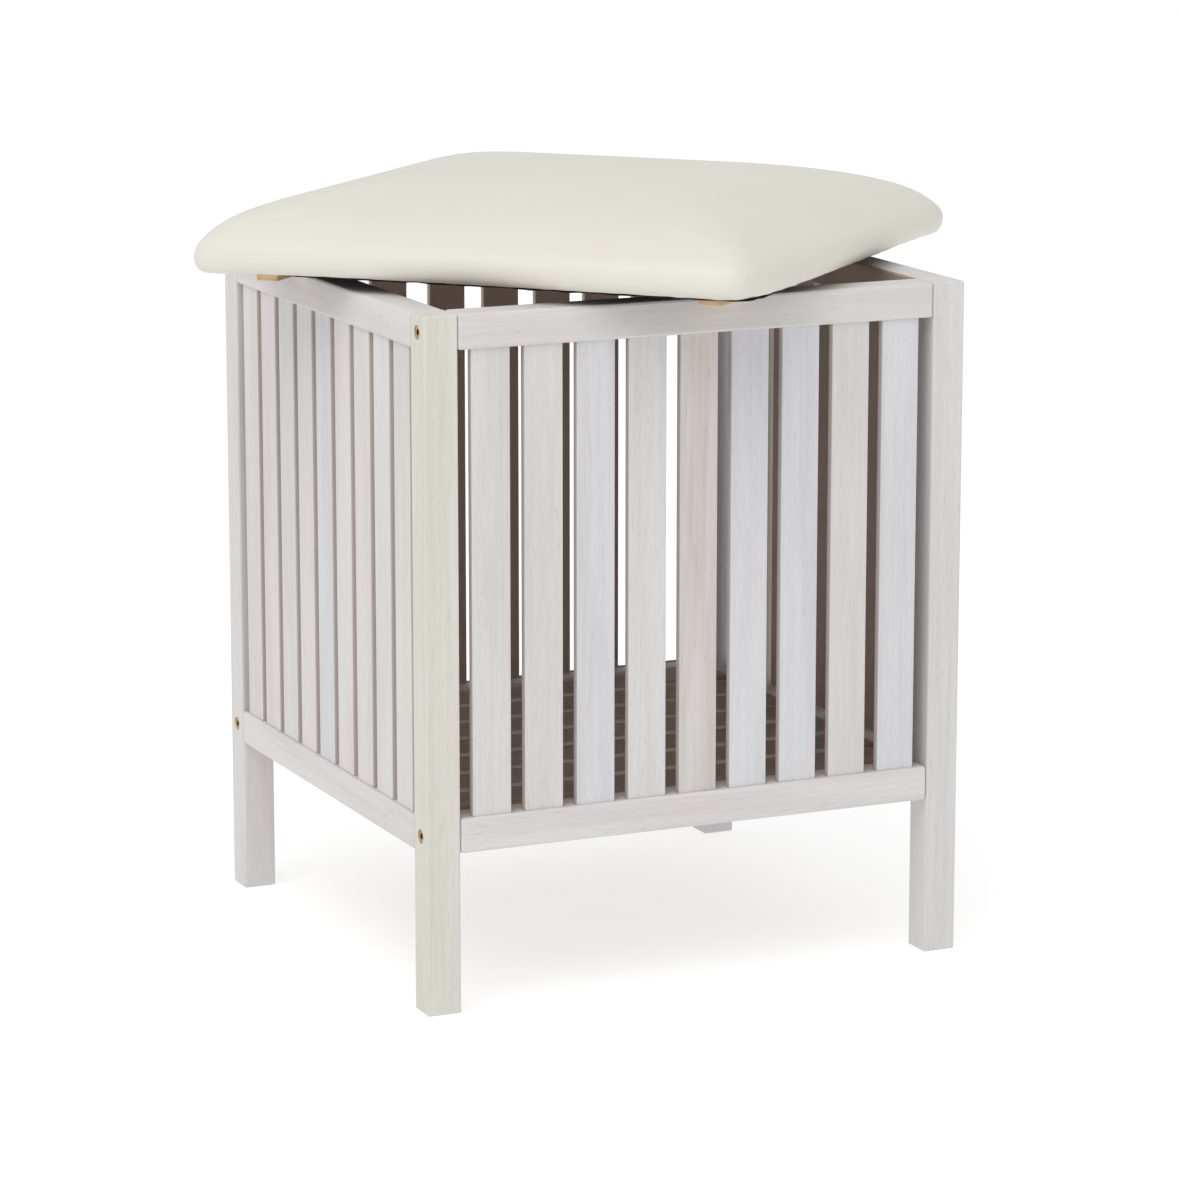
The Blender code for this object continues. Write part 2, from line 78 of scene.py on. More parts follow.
def add_node(
    tree: bpy.types.NodeTree,
    kind: str,
    values: dict | None = None,
    links: dict | None = None,
    **settings: object,
) -> bpy.types.Node:
    """Add a shader node with its settings, its socket values and its links.

    Args:
        tree: The node tree to add to.
        kind: The node's type, without its "ShaderNode" prefix.
        values: Input names or numbers, with the constant that each one holds.
        links: Input names or numbers, with the output socket that feeds each one.
        **settings: Properties of the node itself.

    Returns:
        The new node.
    """
    node = tree.nodes.new("ShaderNode" + kind)
    for name, value in settings.items():
        setattr(node, name, value)
    for socket, value in (values or {}).items():
        node.inputs[socket].default_value = value
    for socket, source in (links or {}).items():
        tree.links.new(source, node.inputs[socket])
    return node


def blank_material(name: str) -> tuple[bpy.types.Material, bpy.types.NodeTree, bpy.types.Node]:
    """Make a material that holds only its shader.

    Args:
        name: The material's name.

    Returns:
        The material, its node tree and its Principled shader.
    """
    material = bpy.data.materials.new(name)
    material.use_nodes = True
    tree = material.node_tree
    shader = tree.nodes["Principled BSDF"]
    return material, tree, shader


def dress(piece: bpy.types.Object, material: bpy.types.Material) -> None:
    """Give a piece one material in place of those that it has."""
    piece.data.materials.clear()
    piece.data.materials.append(material)


class Axis(Enum):
    """The way that a piece's grain runs."""

    X = 0
    Y = 1
    Z = 2


class LimeTone(Enum):
    """Shades of the limewash: its light and its dark, as a batch of boards varies. The floor's
    darker brown is part thin wash and part painted shade.
    """

    NEUTRAL = ("#D3D2D1", "#CAC8C7")
    WARM = ("#D4D1CF", "#CBC7C5")
    COOL = ("#D3D2D5", "#C9C8CB")
    PINK = ("#D6D2D2", "#CCC7C6")
    YELLOW = ("#D5D3CB", "#CDCAC1")
    BROWN = ("#CFCAC7", "#C1BBB7")
    # the floor's darker brown: part thin wash, part painted shade inside the box
    THIN = ("#A09288", "#8E7F74")


@dataclass(frozen=True)
class LimedWood:
    """Hardwood brushed with a thin limewash, which leaves its pores darker than its face.

    The wash is white and matt, and the grain shows through it as short dark dashes in
    soft bands. The faces that look into the box, and in part a slat's narrow faces, turn
    browner: partly a thinner wash that lets the wood's own brown through, partly painted
    shade inside the box and in the gaps between slats.
    """

    name: str
    tone: LimeTone
    grain: Axis
    seed: int
    inward: tuple[float, float, float] | None = None
    inner_brown_starts: float = 0.4  # where the inner brown, part thin wash and part painted shade, starts, as a cosine from inward
    bare: str = "#8F7C6D"
    # the inner faces' brown: part the wood under a thinner wash, part painted shade
    inner: str = "#B6A092"
    band_width: float = 22 * MM
    band_length: float = 260 * MM
    streak_width: float = 2.6 * MM
    streak_length: float = 85 * MM
    pore_width: float = 1.1 * MM  # real pores are 0.2 mm wide, too fine to show
    pore_length: float = 11 * MM
    inner_brown_fullest: float = 0.8  # the cosine from inward at which the inner brown is fullest
    # how much of the inner brown, part painted shade, the inward faces get
    inner_brown_cover: float = 0.9
    figure_dark: float = 0.38
    figure_light: float = 0.60
    pore_starts: float = 0.58
    pore_full: float = 0.72
    pore_strength: float = 0.16
    roughness: float = 0.62
    seed_steps: tuple[float, float, float] = (7.3, 3.1, 5.7)

    def stretched(
        self, tree: bpy.types.NodeTree, coords: bpy.types.NodeSocket, across: float, along: float
    ) -> bpy.types.NodeSocket:
        """Scale the coordinates so that a pattern is one size across the grain and one along.

        Args:
            tree: The material's node tree.
            coords: The object's coordinates.
            across: The pattern's size across the grain, in metres.
            along: The pattern's size along the grain, in metres.

        Returns:
            The scaled coordinates, moved by the piece's own seed.
        """
        scale = [1 / across] * 3
        scale[self.grain.value] = 1 / along
        shift = Vector([self.seed * step for step in self.seed_steps])
        mapping = add_node(tree, "Mapping", {"Location": shift, "Scale": scale}, {"Vector": coords})
        return mapping.outputs["Vector"]

    def material(self) -> bpy.types.Material:
        """Make the piece's material."""
        material, tree, shader = blank_material("limed_hardwood_" + self.name)
        coords = add_node(tree, "TexCoord").outputs["Object"]
        bands = add_node(tree, "TexNoise", {"Scale": 1.0, "Detail": 3.0, "Distortion": 0.4},
                         {"Vector": self.stretched(tree, coords, self.band_width,
                                                   self.band_length)})
        streaks = add_node(tree, "TexNoise", {"Scale": 1.0, "Detail": 4.0, "Roughness": 0.6},
                           {"Vector": self.stretched(tree, coords, self.streak_width,
                                                     self.streak_length)})
        pores = add_node(tree, "TexNoise", {"Scale": 1.0, "Detail": 2.0},
                         {"Vector": self.stretched(tree, coords, self.pore_width,
                                                   self.pore_length)})
        figure = add_node(tree, "Mix", {0: 0.45}, {2: bands.outputs["Fac"],
                                                   3: streaks.outputs["Fac"]})
        light, dark = (to_linear(shade) for shade in self.tone.value)
        ramp = add_node(tree, "ValToRGB", None, {"Fac": figure.outputs[0]})
        ramp.color_ramp.elements[0].position = self.figure_dark
        ramp.color_ramp.elements[0].color = dark
        ramp.color_ramp.elements[1].position = self.figure_light
        ramp.color_ramp.elements[1].color = light
        pore_mask = add_node(tree, "MapRange", {"From Min": self.pore_starts,
                                                "From Max": self.pore_full,
                                                "To Max": self.pore_strength},
                             {"Value": pores.outputs["Fac"]})
        washed = add_node(tree, "Mix", {7: to_linear(self.bare)},
                          {0: pore_mask.outputs["Result"], 6: ramp.outputs["Color"]},
                          data_type="RGBA")
        colour = washed.outputs[2]
        # the faces that look into the box turn browner: part thin wash, part painted shade
        if self.inward is not None:
            colour = self.thin_wash_and_shade(tree, colour)
        tree.links.new(colour, shader.inputs["Base Color"])
        relief = add_node(tree, "Math", None, {0: pores.outputs["Fac"], 1: streaks.outputs["Fac"]},
                          operation="SUBTRACT")
        bump = add_node(tree, "Bump", {"Strength": 0.2, "Distance": 0.15 * MM},
                        {"Height": relief.outputs[0]}, invert=True)
        tree.links.new(bump.outputs["Normal"], shader.inputs["Normal"])
        shader.inputs["Roughness"].default_value = self.roughness
        shader.inputs["Specular IOR Level"].default_value = 0.35
        return material

    def thin_wash_and_shade(
        self, tree: bpy.types.NodeTree, colour: bpy.types.NodeSocket
    ) -> bpy.types.NodeSocket:
        """Mix a brown into the faces that look into the box: part the wood's own brown under a
        thinner wash, part painted shade.

        Args:
            tree: The material's node tree.
            colour: The colour of the washed faces.

        Returns:
            The colour with the inner faces' brown mixed in.
        """
        normal = add_node(tree, "NewGeometry").outputs["Normal"]
        facing = add_node(tree, "VectorMath", {1: self.inward}, {0: normal},
                          operation="DOT_PRODUCT")
        mask = add_node(tree, "MapRange", {"From Min": self.inner_brown_starts,
                                           "From Max": self.inner_brown_fullest,
                                           "To Max": self.inner_brown_cover},
                        {"Value": facing.outputs["Value"]})
        mixed = add_node(tree, "Mix", {7: to_linear(self.inner)},
                         {0: mask.outputs["Result"], 6: colour}, data_type="RGBA")
        return mixed.outputs[2]


@dataclass(frozen=True)
class Pine:
    """Planed pine: straw-coloured, with darker growth lines and rings on its ends."""

    name: str
    heading: float
    centre: tuple[float, float, float]
    early: str = "#E3C79A"
    late: str = "#C79F68"
    ring_width: float = 2.2 * MM

    def material(self) -> bpy.types.Material:
        """Make the batten's material."""
        material, tree, shader = blank_material("planed_pine_" + self.name)
        coords = add_node(tree, "TexCoord").outputs["Object"]
        placed = add_node(tree, "Mapping", {"Location": self.centre},
                          {"Vector": coords}, vector_type="TEXTURE")
        placed.inputs["Rotation"].default_value = (0.0, 0.0, self.heading)
        rings = add_node(tree, "TexWave", {"Scale": 1 / (20 * self.ring_width),
                                           "Distortion": 1.5, "Detail": 2.0, "Detail Scale": 1.2},
                         {"Vector": placed.outputs["Vector"]}, wave_type="RINGS",
                         rings_direction="X")
        ramp = add_node(tree, "ValToRGB", None, {"Fac": rings.outputs["Fac"]})
        ramp.color_ramp.elements[0].position = 0.2
        ramp.color_ramp.elements[0].color = to_linear(self.early)
        ramp.color_ramp.elements[1].position = 0.95
        ramp.color_ramp.elements[1].color = to_linear(self.late)
        tree.links.new(ramp.outputs["Color"], shader.inputs["Base Color"])
        bump = add_node(tree, "Bump", {"Strength": 0.25, "Distance": 0.1 * MM},
                        {"Height": rings.outputs["Fac"]})
        tree.links.new(bump.outputs["Normal"], shader.inputs["Normal"])
        shader.inputs["Roughness"].default_value = 0.55
        return material


@dataclass(frozen=True)
class Plywood:
    """Sanded birch plywood, whose layers show as thin dark lines on its edge."""

    face: str = "#C9A878"
    glue_line: str = "#8A6640"
    layer: float = 1.5 * MM

    def material(self) -> bpy.types.Material:
        """Make the board's material."""
        material, tree, shader = blank_material("birch_plywood")
        coords = add_node(tree, "TexCoord").outputs["Object"]
        layers = add_node(tree, "TexWave", {"Scale": math.tau / (20 * self.layer),
                                            "Distortion": 0.3},
                          {"Vector": coords}, bands_direction="Z")
        lines = add_node(tree, "MapRange", {"From Min": 0.8, "From Max": 1.0, "To Max": 0.6},
                         {"Value": layers.outputs["Fac"]})
        figure = add_node(tree, "TexNoise", {"Scale": 60.0, "Detail": 5.0}, {"Vector": coords})
        mottled = add_node(tree, "Mix", {6: to_linear(self.face), 7: to_linear(self.glue_line)},
                           {0: lines.outputs["Result"]}, data_type="RGBA")
        shaded = add_node(tree, "Mix", {0: 0.15}, {6: mottled.outputs[2],
                                                   7: figure.outputs["Color"]},
                          data_type="RGBA", blend_type="MULTIPLY")
        tree.links.new(shaded.outputs[2], shader.inputs["Base Color"])
        shader.inputs["Roughness"].default_value = 0.7
        return material


@dataclass(frozen=True)
class Leatherette:
    """PU-coated cloth with an embossed leather grain: soft, even and faintly glossy."""

    colour: str = "#DAD7CE"
    shade: str = "#D6D2C7"
    grain: float = 1.3 * MM  # a real grain is about 0.6 mm, drawn coarser so that it shows
    mottle: float = 55 * MM
    roughness: float = 0.46

    def material(self) -> bpy.types.Material:
        """Make the cover's material."""
        material, tree, shader = blank_material("pu_leatherette_cream")
        coords = add_node(tree, "TexCoord").outputs["Object"]
        patches = add_node(tree, "TexNoise", {"Scale": 1 / self.mottle, "Detail": 2.0},
                           {"Vector": coords})
        tint = add_node(tree, "Mix", {6: to_linear(self.shade), 7: to_linear(self.colour)},
                        {0: patches.outputs["Fac"]}, data_type="RGBA")
        pebbles = add_node(tree, "TexVoronoi", {"Scale": 1 / self.grain, "Randomness": 1.0},
                           {"Vector": coords}, feature="SMOOTH_F1")
        creases = add_node(tree, "TexNoise", {"Scale": 0.5 / self.grain, "Detail": 4.0},
                           {"Vector": coords})
        height = add_node(tree, "Math", None, {0: pebbles.outputs["Distance"],
                                               1: creases.outputs["Fac"]}, operation="ADD")
        bump = add_node(tree, "Bump", {"Strength": 0.12, "Distance": 0.12 * MM},
                        {"Height": height.outputs[0]}, invert=True)
        gloss = add_node(tree, "MapRange", {"To Min": self.roughness - 0.05,
                                            "To Max": self.roughness + 0.07},
                         {"Value": creases.outputs["Fac"]})
        tree.links.new(tint.outputs[2], shader.inputs["Base Color"])
        tree.links.new(gloss.outputs["Result"], shader.inputs["Roughness"])
        tree.links.new(bump.outputs["Normal"], shader.inputs["Normal"])
        shader.inputs["Specular IOR Level"].default_value = 0.4
        return material


@dataclass(frozen=True)
class NonWoven:
    """Spun-bonded polypropylene lining: matt black with an embossed dot pattern."""

    colour: str = "#1B1A1A"
    fleck: str = "#2C2A29"
    dot: float = 2.0 * MM

    def material(self) -> bpy.types.Material:
        """Make the lining's material."""
        material, tree, shader = blank_material("spun_bonded_lining_black")
        coords = add_node(tree, "TexCoord").outputs["Object"]
        dots = add_node(tree, "TexVoronoi", {"Scale": 1 / self.dot, "Randomness": 0.15},
                        {"Vector": coords})
        fibres = add_node(tree, "TexNoise", {"Scale": 1.4 / self.dot, "Detail": 6.0},
                          {"Vector": coords})
        tint = add_node(tree, "Mix", {6: to_linear(self.colour), 7: to_linear(self.fleck)},
                        {0: fibres.outputs["Fac"]}, data_type="RGBA")
        bump = add_node(tree, "Bump", {"Strength": 0.5, "Distance": 0.15 * MM},
                        {"Height": dots.outputs["Distance"]})
        tree.links.new(tint.outputs[2], shader.inputs["Base Color"])
        tree.links.new(bump.outputs["Normal"], shader.inputs["Normal"])
        shader.inputs["Roughness"].default_value = 0.95
        return material


@dataclass(frozen=True)
class Foam:
    """Open-cell upholstery foam: yellowish and pitted."""

    colour: str = "#E3D9A8"
    pit: str = "#B9AC78"
    cell: float = 1.2 * MM

    def material(self) -> bpy.types.Material:
        """Make the pad's material."""
        material, tree, shader = blank_material("upholstery_foam")
        coords = add_node(tree, "TexCoord").outputs["Object"]
        cells = add_node(tree, "TexVoronoi", {"Scale": 1 / self.cell}, {"Vector": coords})
        tint = add_node(tree, "Mix", {6: to_linear(self.pit), 7: to_linear(self.colour)},
                        {0: cells.outputs["Distance"]}, data_type="RGBA")
        tree.links.new(tint.outputs[2], shader.inputs["Base Color"])
        shader.inputs["Roughness"].default_value = 0.9
        return material


class Plating(Enum):
    """The metals that the fasteners are plated with: colour, dulled colour and roughness."""

    BRASS = ("#D9B36A", "#8C6A35", 0.28)
    ZINC = ("#C9CCD0", "#9A9EA3", 0.34)


@dataclass(frozen=True)
class PlatedSteel:
    """Turned steel with a thin bright plating, dulled in blotches."""

    plating: Plating
    blotch: float = 2.5 * MM

    def material(self) -> bpy.types.Material:
        """Make the fastener's material."""
        material, tree, shader = blank_material(self.plating.name.lower() + "_plated_steel")
        bright, dull, roughness = self.plating.value
        coords = add_node(tree, "TexCoord").outputs["Object"]
        blotches = add_node(tree, "TexNoise", {"Scale": 1 / self.blotch, "Detail": 4.0},
                            {"Vector": coords})
        tint = add_node(tree, "Mix", {6: to_linear(bright), 7: to_linear(dull)},
                        {0: blotches.outputs["Fac"]}, data_type="RGBA")
        rough = add_node(tree, "MapRange", {"To Min": roughness - 0.06, "To Max": roughness + 0.14},
                         {"Value": blotches.outputs["Fac"]})
        tree.links.new(tint.outputs[2], shader.inputs["Base Color"])
        tree.links.new(rough.outputs["Result"], shader.inputs["Roughness"])
        shader.inputs["Metallic"].default_value = 1.0
        return material


@dataclass(frozen=True)
class PaperFloor:
    """Matt white backdrop paper, lit a little from behind so that shadows stay pale."""

    colour: str = "#B4B4B4"
    glow: float = 0.66

    def material(self) -> bpy.types.Material:
        """Make the floor's material."""
        material, tree, shader = blank_material("backdrop_paper")
        coords = add_node(tree, "TexCoord").outputs["Object"]
        fibres = add_node(tree, "TexNoise", {"Scale": 900.0}, {"Vector": coords})
        bump = add_node(tree, "Bump", {"Strength": 0.02, "Distance": 0.05 * MM},
                        {"Height": fibres.outputs["Fac"]})
        tree.links.new(bump.outputs["Normal"], shader.inputs["Normal"])
        shader.inputs["Base Color"].default_value = to_linear(self.colour)
        shader.inputs["Emission Color"].default_value = (1.0, 1.0, 1.0, 1.0)
        shader.inputs["Emission Strength"].default_value = self.glow
        shader.inputs["Roughness"].default_value = 0.9
        shader.inputs["Specular IOR Level"].default_value = 0.0
        return material


@dataclass
class SlattedBox:
    """The limed box: posts, rails, slats and floor.

    The front and left sides are the frame's own pieces. The right and back ones are
    copies of them, turned half-way round the box's middle. The back has eight slats,
    spaced as listed.
    """

    back_slats: tuple[float, ...] = (
        -151.6 * MM, -113.4 * MM, -75.3 * MM, -29.2 * MM, 13.9 * MM, 55.8 * MM, 95.9 * MM,
        135.8 * MM,
    )
    floor_slats: int = 7
    front_tones: tuple[LimeTone, ...] = (
        LimeTone.NEUTRAL, LimeTone.WARM, LimeTone.COOL, LimeTone.NEUTRAL, LimeTone.BROWN,
        LimeTone.COOL, LimeTone.COOL, LimeTone.WARM, LimeTone.COOL,
    )
    side_tones: tuple[LimeTone, ...] = (
        LimeTone.WARM, LimeTone.PINK, LimeTone.NEUTRAL, LimeTone.WARM, LimeTone.COOL,
        LimeTone.PINK, LimeTone.WARM, LimeTone.NEUTRAL, LimeTone.WARM,
    )
    inward: dict[str, tuple[float, float, float]] = field(default_factory=lambda: {
        "front": (0.0, 1.0, 0.0), "back": (0.0, -1.0, 0.0),
        "left": (1.0, 0.0, 0.0), "right": (-1.0, 0.0, 0.0),
    })
    slat_inner_brown_starts: float = -0.95  # a slat's narrow faces get part of the inner brown too: part thin wash, part painted shade in the gaps between slats
    seed: int = 0

    def next_seed(self) -> int:
        """Return a new number, so that no two pieces share a grain."""
        self.seed += 1
        return self.seed

    def finish(
        self, name: str, tone: LimeTone, grain: Axis, side: str | None = None,
        inner_brown_starts: float = 0.4,
    ) -> bpy.types.Material:
        """Make one piece's limed wood.

        Args:
            name: The piece's name.
            tone: Its shade.
            grain: The way that its grain runs.
            side: The side of the box that it is in, if one of its faces looks inside.
            inner_brown_starts: Where its inner brown starts, as a cosine from inward; the brown is
                part thin wash and part painted shade.

        Returns:
            The material.
        """
        inward = self.inward.get(side)
        return LimedWood(name, tone, grain, self.next_seed(), inward, inner_brown_starts).material()

    def half_turned(
        self, node: str, name: str, stands_for: str, across: float | None = None
    ) -> bpy.types.Object:
        """Copy a piece to the opposite side of the box.

        Args:
            node: The CAD node to copy.
            name: The copy's name.
            stands_for: The CAD node that the copy is a piece of.
            across: The copy's own x from the box's middle, if it isn't straight across.

        Returns:
            The copy, riding on the box.
        """
        middle = self.middle()
        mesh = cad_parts[node].data.copy()
        mesh.transform(Matrix.Translation(middle) @ Matrix.Rotation(math.pi, 4, "Z")
                       @ Matrix.Translation(-middle))
        if across is not None:
            xs = [vertex.co.x for vertex in mesh.vertices]
            move = middle.x + across - (min(xs) + max(xs)) / 2
            mesh.transform(Matrix.Translation((move, 0.0, 0.0)))
        piece = bpy.data.objects.new(name, mesh)
        bpy.context.scene.collection.objects.link(piece)
        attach(piece, "box")
        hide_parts(stands_for)
        return piece

    def middle(self) -> Vector:
        """Return the middle of the box in plan, at floor level."""
        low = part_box("post_front_left")[0]
        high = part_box("post_back_right")[1]
        return Vector(((low.x + high.x) / 2, (low.y + high.y) / 2, 0.0))

    def dress_posts(self) -> None:
        """Lime the four posts."""
        tones = {"front_left": LimeTone.YELLOW, "front_right": LimeTone.NEUTRAL,
                 "back_left": LimeTone.WARM, "back_right": LimeTone.COOL}
        for place, tone in tones.items():
            name = "post_" + place
            dress(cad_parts[name], self.finish(name, tone, Axis.Z))
            log.info("limed %s", name)

    def dress_side(self, side: str, opposite: str, run: Axis, tones: Sequence[LimeTone]) -> None:
        """Lime a side's rails and slats, and build the opposite side from them.

        Args:
            side: The side whose pieces are in the frame.
            opposite: The side across the box from it.
            run: The way that the rails run.
            tones: The slats' shades, in order.
        """
        panel = opposite + "_panel"
        for level, tone in (("lower", LimeTone.PINK), ("upper", LimeTone.WARM)):
            name = f"{side}_{level}_rail"
            dress(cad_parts[name], self.finish(name, tone, run, side))
            twin = self.half_turned(name, f"{opposite}_{level}_rail", panel)
            dress(twin, self.finish(twin.name, tone, run, opposite))
        places = self.back_slats if opposite == "back" else (None,) * len(tones)
        for number, tone in enumerate(tones, start=1):
            name = f"{side}_slat_{number}"
            limed = self.finish(name, tone, Axis.Z, side, self.slat_inner_brown_starts)
            dress(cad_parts[name], limed)
        for number, (across, tone) in enumerate(zip(places, tones), start=1):
            source = f"{side}_slat_{number}"
            twin = self.half_turned(source, f"{opposite}_slat_{number}", panel, across)
            limed = self.finish(twin.name, tone, Axis.Z, opposite, self.slat_inner_brown_starts)
            dress(twin, limed)
        log.info("limed the %s side and built the %s side", side, opposite)

    def dress_floor(self) -> None:
        """Lime the floor's slats and bearers in a darker brown, part thin wash and part painted
        shade, as they are inside.
        """
        for number in range(1, self.floor_slats + 1):
            name = f"floor_slat_{number}"
            dress(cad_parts[name], self.finish(name, LimeTone.THIN, Axis.X))
        for side in ("left", "right"):
            name = f"floor_bearer_{side}"
            dress(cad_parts[name], self.finish(name, LimeTone.THIN, Axis.Y))
        log.info("limed the floor")

    def build(self) -> None:
        """Dress the whole box."""
        self.dress_posts()
        self.dress_side("front", "back", Axis.X, self.front_tones)
        self.dress_side("left", "right", Axis.Y, self.side_tones)
        self.dress_floor()


@dataclass
class Fasteners:
    """The bolts, whose heads show in the posts, and their barrel nuts."""

    def build(self) -> None:
        """Plate every bolt and nut."""
        brass = PlatedSteel(Plating.BRASS).material()
        zinc = PlatedSteel(Plating.ZINC).material()
        for name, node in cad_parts.items():
            if name.startswith("bolt_"):
                dress(node, brass)
            if name.startswith("barrel_nut_"):
                dress(node, zinc)
        log.info("plated the bolts and nuts")


@dataclass
class PaddedLid:
    """The lid: a board, a foam pad, its cover, a lining and two battens.

    Its own directions are u across the battens and v along them, with its middle over
    the origin and heights from the rim.
    """

    corner: float = 26.0  # exponent of the outline: higher is squarer
    crown_corner: float = 2.6
    edge_radius: float = 10.5 * MM
    swell: float = 0.5 * MM  # how much smaller the form starts than the stuffed cover
    swell_cap: float = 1.5 * MM
    foam_gap: float = 2.8 * MM
    voxel: float = 4.5 * MM
    pressure: float = 4.0
    frames: int = 20
    ring_points: int = 96
    dome_rings: int = 18
    roll_rings: int = 5
    dome_crowding: float = 1.8  # 1 spaces the dome's rings evenly, and more crowds the edge
    crown_blend: float = 0.7
    corner_falloff: int = 4
    edge_falloff: int = 8
    droop_reach: float = 3.2  # how high the droop reaches, in edge radii
    corner_pulls: dict[tuple[int, int], tuple[float, float]] = field(default_factory=lambda: {
        (1, -1): (16 * MM, 2 * MM), (1, 1): (1 * MM, 1 * MM),
        (-1, -1): (5 * MM, 4 * MM), (-1, 1): (0.0, 0.0),
    })  # how far each corner is drawn in along u and v, by the signs of u and v
    corner_droops: dict[tuple[int, int], float] = field(default_factory=lambda: {
        (1, -1): 1.2 * MM, (1, 1): 1.6 * MM, (-1, -1): 6 * MM, (-1, 1): 1.6 * MM,
    })
    pucker: float = 1.2 * MM
    pucker_spacing: float = 11 * MM
    hem: float = 30 * MM
    leather: float = 0.9 * MM
    lining_inset: float = 14 * MM
    lining_thickness: float = 0.5 * MM
    lining_ripple: float = 0.9 * MM
    lining_cells: int = 72
    lining_falloff: int = 14
    lining_level: float = 0.4 * MM  # from the bottom of its CAD node to its middle
    foam_crease: float = 40.0
    ring_centres: dict[str, float] = field(default_factory=lambda: {
        "left": 14 * MM, "right": -18 * MM,
    })  # how far each batten's growth rings are centred above its middle

    def __post_init__(self) -> None:
        """Read the lid's place, turn and sizes from the frame."""
        self.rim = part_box("post_front_left")[1].z
        self.turn = self.heading("lid_batten_right") - math.pi / 2
        self.matrix = Matrix.Translation((0.0, 0.0, self.rim)) @ Matrix.Rotation(self.turn, 4, "Z")
        self.low, self.high = self.local_box("lid_cover")

    def heading(self, node: str) -> float:
        """Return the way that a node's long side runs.

        Args:
            node: The CAD node's name.

        Returns:
            The angle from +X in plan, from 0 to half a turn.
        """
        points = np.array([v.co[:2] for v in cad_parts[node].data.vertices])
        spread = np.cov((points - points.mean(0)).T)
        long_side = np.linalg.eigh(spread)[1][:, 1]
        return math.atan2(long_side[1], long_side[0]) % math.pi

    def local_box(self, node: str) -> tuple[Vector, Vector]:
        """Return the box round a lid node, in the lid's own directions.

        Args:
            node: The CAD node's name.

        Returns:
            The box's lowest and highest corner.
        """
        back = self.matrix.inverted()
        points = np.array([back @ v.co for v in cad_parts[node].data.vertices])
        return Vector(points.min(0)), Vector(points.max(0))

    def outline(self, inset: float, squareness: float) -> list[tuple[float, float]]:
        """Return a rounded rectangle round the lid's middle.

        Args:
            inset: How far it lies inside the cover's widest line, in metres.
            squareness: The exponent of its superellipse.

        Returns:
            Its points, as u and v.
        """
        points = []
        for index in range(self.ring_points):
            angle = math.tau * (index + 0.5) / self.ring_points
            across = math.copysign(abs(math.cos(angle)) ** (2 / squareness), math.cos(angle))
            along = math.copysign(abs(math.sin(angle)) ** (2 / squareness), math.sin(angle))
            points.append(((self.high.x - inset) * across, (self.high.y - inset) * along))
        return points

    def cushion_rings(self, inset: float) -> list[Ring]:
        """Return the cushion's rings, from its folded-in hem to near its crown.

        Args:
            inset: How much smaller than the finished cover the form is, in metres.

        Returns:
            Each ring's outline and height.
        """
        bottom = self.low.z
        rings = [(self.outline(inset + self.hem * 2, self.corner), bottom),
                 (self.outline(inset + self.hem, self.corner), bottom)]
        for step in range(self.roll_rings + 1):
            angle = math.pi / 2 * step / self.roll_rings
            share = self.edge_radius * (1 - math.sin(angle))
            rings.append((self.outline(inset + share, self.corner),
                          bottom + self.edge_radius * (1 - math.cos(angle))))
        rise = self.high.z - bottom - self.edge_radius - inset
        for index in range(1, self.dome_rings):
            share = (index / self.dome_rings) ** self.dome_crowding
            blend = share ** self.crown_blend
            squareness = self.corner + (self.crown_corner - self.corner) * blend
            height = bottom + self.edge_radius + rise * math.sqrt(1 - (1 - share) ** 2)
            rings.append((self.outline(inset + share * (self.high.y - inset), squareness), height))
        return rings

    def loft(self, rings: Iterable[Ring], crown: float) -> bmesh.types.BMesh:
        """Skin a closed form over rings.

        Args:
            rings: Outlines and heights, from the bottom up.
            crown: The height of the middle of the top.

        Returns:
            The form, as an edit mesh.
        """
        bm = bmesh.new()
        loops = [[bm.verts.new((u, v, height)) for u, v in points] for points, height in rings]
        count = self.ring_points
        for lower, upper in zip(loops, loops[1:]):
            for i in range(count):
                j = (i + 1) % count
                bm.faces.new((lower[i], lower[j], upper[j], upper[i]))
        top = bm.verts.new((0.0, 0.0, crown))
        for i in range(count):
            bm.faces.new((loops[-1][i], loops[-1][(i + 1) % count], top))
        bm.faces.new(list(reversed(loops[0])))
        bmesh.ops.recalc_face_normals(bm, faces=bm.faces)
        return bm

    def add_object(self, name: str, bm: bmesh.types.BMesh) -> bpy.types.Object:
        """Link an edit mesh to the scene as an object, still in the lid's own directions.

        Args:
            name: The object's name.
            bm: The edit mesh, which is freed.

        Returns:
            The object.
        """
        mesh = bpy.data.meshes.new(name)
        bm.to_mesh(mesh)
        bm.free()
        piece = bpy.data.objects.new(name, mesh)
        bpy.context.scene.collection.objects.link(piece)
        return piece

    def place(self, piece: bpy.types.Object, slot: str, *stands_for: str) -> None:
        """Move a finished piece onto the rim, hang it on the lid and hide the CAD nodes that it
        replaces.

        Args:
            piece: The piece, in the lid's own directions.
            slot: The record's material slot; not used.
            *stands_for: The CAD nodes that it replaces.
        """
        piece.data.transform(self.matrix)
        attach(piece, "lid")
        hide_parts(*stands_for)

